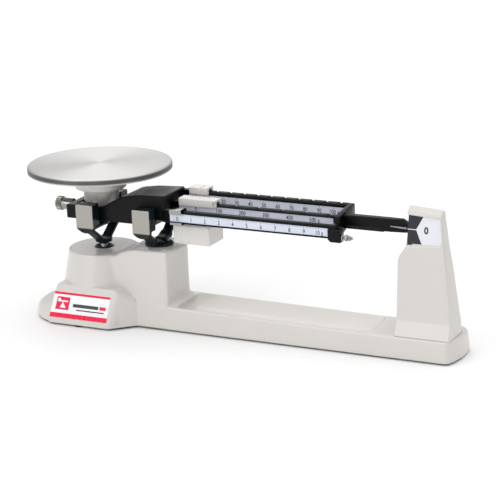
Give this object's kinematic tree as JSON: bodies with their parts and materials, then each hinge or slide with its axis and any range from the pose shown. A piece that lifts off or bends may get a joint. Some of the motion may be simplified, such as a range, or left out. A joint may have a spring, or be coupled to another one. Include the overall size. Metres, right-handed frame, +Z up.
{
  "type": "triple beam balance",
  "caption": "Mechanical balance: round weighing plate on a parallel-motion hanger, three-rail beam with sliding poises, cast base with an index post",
  "frame": {"origin": "on the table, under the middle of the balance's bounding box", "axes": "+X from the weighing plate to the index post, +Y from the front (label) side to the back, +Z up"},
  "size_m": [0.483, 0.1524, 0.167],
  "materials": {
    "enamel_cast": "satin",
    "enamel_post": "satin",
    "rubber_black": "matte",
    "label_film": "gloss",
    "black_cup": "satin",
    "black_bracket": "satin",
    "beam_black": "satin",
    "knife_steel": "satin",
    "zinc_steel": "satin",
    "cover_steel": "satin",
    "plate_steel": "satin",
    "chrome_bright": "polished",
    "bush_brass": "satin",
    "magnet_dark": "satin",
    "scale_strip": "satin",
    "index_white": "satin",
    "vane_aluminium": "satin",
    "hub_white": "satin",
    "poise_white": "satin",
    "knurled_chrome": "satin"
  },
  "bodies": {
    "base": {"base_casting": "enamel_cast", "rubber_feet": "rubber_black", "label_plate": "label_film", "stem_grommet": "black_cup", "fulcrum_fork": "black_bracket", "fulcrum_nut": "zinc_steel", "fulcrum_bearings": "knife_steel", "fulcrum_covers": "cover_steel", "link_bracket": "zinc_steel", "link_pin": "zinc_steel", "post_housing": "enamel_post", "post_screws": "zinc_steel", "index_plate": "index_white", "damper_bracket": "zinc_steel", "damper_magnets": "magnet_dark"},
    "beam": {"beam_casting": "beam_black", "front_scale": "scale_strip", "middle_scale": "scale_strip", "rear_scale": "scale_strip", "load_knives": "knife_steel", "fulcrum_knives": "knife_steel", "pointer": "index_white", "damper_vane": "vane_aluminium", "zero_screw": "zinc_steel", "end_stud": "chrome_bright", "end_nuts": "chrome_bright"},
    "zero_knob": {"zero_knob": "knurled_chrome"},
    "pan_hanger": {"hanger_bracket": "black_bracket", "hanger_legs": "black_bracket", "hanger_stem": "zinc_steel", "hanger_bearings": "knife_steel", "hanger_covers": "cover_steel", "pan_hub": "hub_white", "stem_pin": "zinc_steel"},
    "check_link": {"check_link": "zinc_steel", "link_bush": "bush_brass"},
    "plate": {"weighing_plate": "plate_steel"},
    "front_rider": {"front_rider": "chrome_bright", "rider_grip": "black_cup"},
    "middle_poise": {"middle_poise_saddle": "poise_white", "middle_poise_weight": "poise_white", "middle_poise_pin": "knife_steel"},
    "rear_poise": {"rear_poise_saddle": "poise_white", "rear_poise_weight": "poise_white", "rear_poise_pin": "knife_steel"}
  },
  "joints": [
    {"name": "beam_tilt", "type": "hinge", "parent": "base", "child": "beam", "pos_m": [-0.096, 0, 0.117], "axis": [0, 1, 0], "range_deg": [-2, 2], "stiffness_Nm_per_rad": 2},
    {"name": "hanger_swing", "type": "hinge", "parent": "beam", "child": "pan_hanger", "pos_m": [-0.163, 0, 0.117], "axis": [0, 1, 0], "range_deg": [-2.1, 2.1]},
    {"name": "link_swing", "type": "hinge", "parent": "base", "child": "check_link", "pos_m": [-0.096, 0, 0.02], "axis": [0, 1, 0], "range_deg": [-2.1, 2.1]},
    {"name": "plate_lift", "type": "slide", "parent": "pan_hanger", "child": "plate", "axis": [0, 0, 1], "range_m": [0, 0.03]},
    {"name": "front_rider_slide", "type": "slide", "parent": "beam", "child": "front_rider", "axis": [1, 0, 0], "range_m": [0, 0.158]},
    {"name": "middle_poise_slide", "type": "slide", "parent": "beam", "child": "middle_poise", "axis": [1, 0, 0], "range_m": [0, 0.133]},
    {"name": "rear_poise_slide", "type": "slide", "parent": "beam", "child": "rear_poise", "axis": [1, 0, 0], "range_m": [0, 0.155]},
    {"name": "zero_knob_turn", "type": "hinge", "parent": "beam", "child": "zero_knob", "pos_m": [-0.207, 0, 0.1185], "axis": [1, 0, 0], "continuous": true}
  ],
  "couplings": [
    {"joint": "hanger_swing", "follows": "beam_tilt", "ratio": -1},
    {"joint": "link_swing", "follows": "beam_tilt", "ratio": 1}
  ]
}
